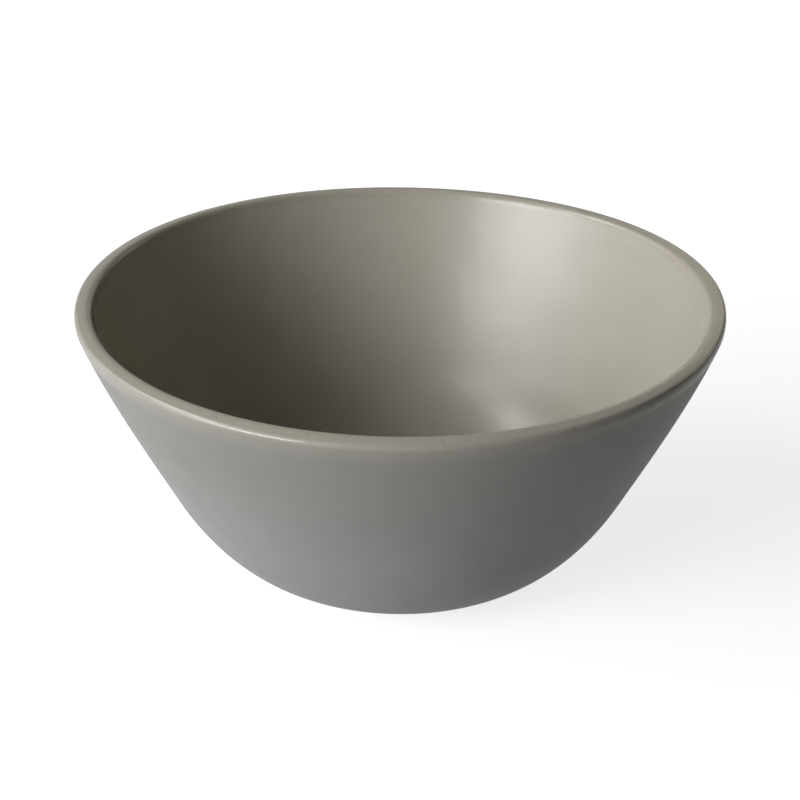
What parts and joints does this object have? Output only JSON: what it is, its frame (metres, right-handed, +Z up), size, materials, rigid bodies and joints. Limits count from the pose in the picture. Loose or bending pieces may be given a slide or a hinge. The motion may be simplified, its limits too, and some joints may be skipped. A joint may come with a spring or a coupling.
{
  "type": "ceramic bowl",
  "caption": "Deep flared stoneware bowl with a straight wall, rounded belly, thick soft lip and a small foot ring, in matte warm grey glaze.",
  "frame": {"origin": "centre of the foot ring on the surface that the bowl stands on", "axes": "+Z up along the bowl's axis of rotation, towards the open mouth; X and Y level"},
  "size_m": [0.156, 0.156, 0.071],
  "materials": {
    "stoneware": "bare fired stoneware, fine grit, matte",
    "inside_glaze": "matte satin glaze, warm grey",
    "outside_glaze": "matte satin glaze, grey",
    "foot_glaze": "matte satin glaze, grey, thinner"
  },
  "bodies": {
    "root": {"clay_body": "stoneware", "inside_glaze": "inside_glaze", "outside_glaze": "outside_glaze", "foot_recess_glaze": "foot_glaze"}
  },
  "joints": []
}
